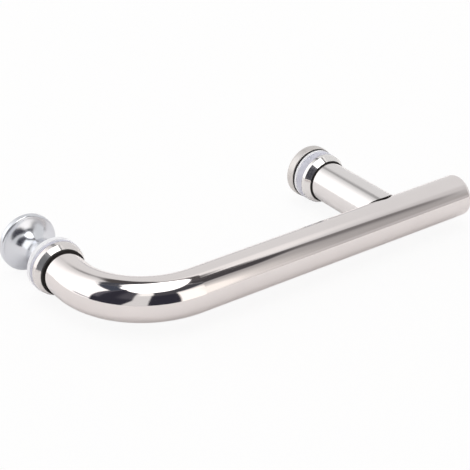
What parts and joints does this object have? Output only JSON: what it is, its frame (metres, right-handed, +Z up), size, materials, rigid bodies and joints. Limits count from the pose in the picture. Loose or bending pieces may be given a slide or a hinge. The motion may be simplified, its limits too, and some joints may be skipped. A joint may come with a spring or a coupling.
{
  "type": "glass door pull handle",
  "caption": "Polished tubular pull for a glass door: a bar bent back at one end to a knob fixing, overhanging a coped post held by a flat cap.",
  "frame": {"origin": "on the axis of the knob fixing, in the plane of the glass face on the user's side", "axes": "+X along the bar towards its free end, +Y through the glass to the far side, +Z up, square to the plane of bar and fixings"},
  "size_m": [0.193, 0.0893, 0.026],
  "materials": {
    "polished_steel": "polished",
    "bright_chrome": "polished",
    "clear_plastic": "translucent",
    "black_rubber": "smooth",
    "machined_steel": "machined"
  },
  "bodies": {
    "root": {"pull_tube": "polished_steel", "bar_end_cap": "polished_steel", "post_tube": "polished_steel", "knob_collar": "polished_steel", "post_collar": "polished_steel", "fixing_cap": "polished_steel", "knob_inner_washer": "clear_plastic", "knob_outer_washer": "clear_plastic", "post_inner_washer": "clear_plastic", "post_outer_washer": "clear_plastic", "knob_seal_ring": "black_rubber", "post_seal_ring": "black_rubber", "cap_seal_ring": "black_rubber", "bend_plug": "machined_steel", "knob_stud": "machined_steel", "post_plug": "machined_steel", "post_stud": "machined_steel", "saddle_block": "machined_steel", "post_screw": "machined_steel", "bar_nut": "machined_steel", "knob": "bright_chrome"}
  },
  "joints": []
}
